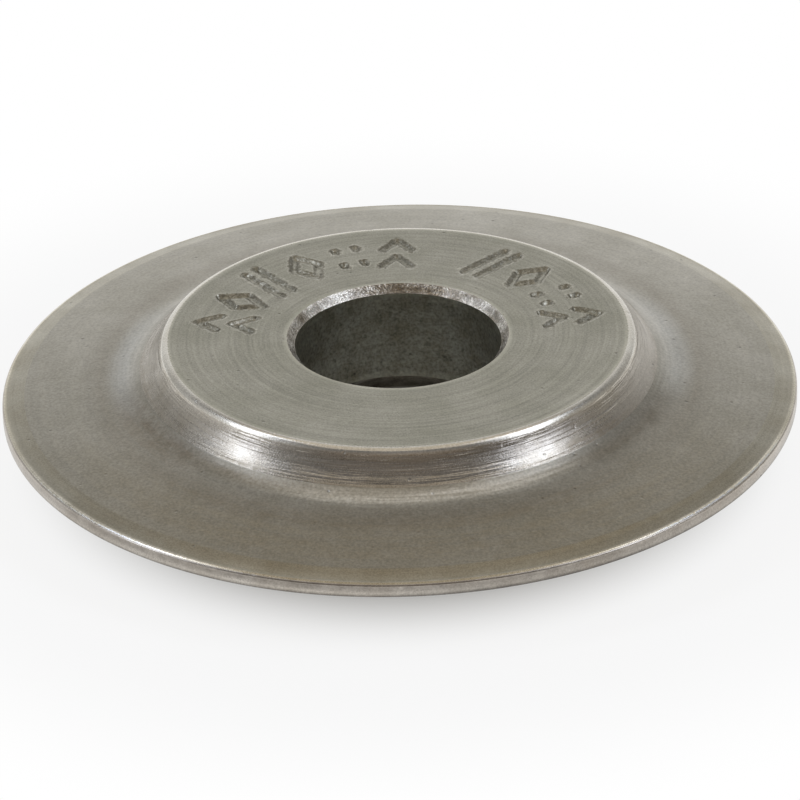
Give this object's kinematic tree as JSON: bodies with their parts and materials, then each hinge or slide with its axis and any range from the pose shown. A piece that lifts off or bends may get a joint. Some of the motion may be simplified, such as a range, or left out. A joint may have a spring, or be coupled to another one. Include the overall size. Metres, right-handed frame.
{
  "type": "pipe cutter wheel",
  "caption": "Thin round cutting blade with a raised hub and a plain bore; it rolls round a tube on a pin and parts it with its hardened edge.",
  "frame": {"origin": "centre of the wheel, on its axis and midway between the two faces of the hub", "axes": "+Z along the wheel's axis, towards the hub face with the stamped marks; the cutting edge lies in the XY plane"},
  "size_m": [0.0186, 0.0186, 0.003],
  "materials": {
    "tool_steel": "turned and hardened, dull grey with a faint brown tint"
  },
  "bodies": {
    "root": {"cutter_wheel": "tool_steel"}
  },
  "joints": []
}
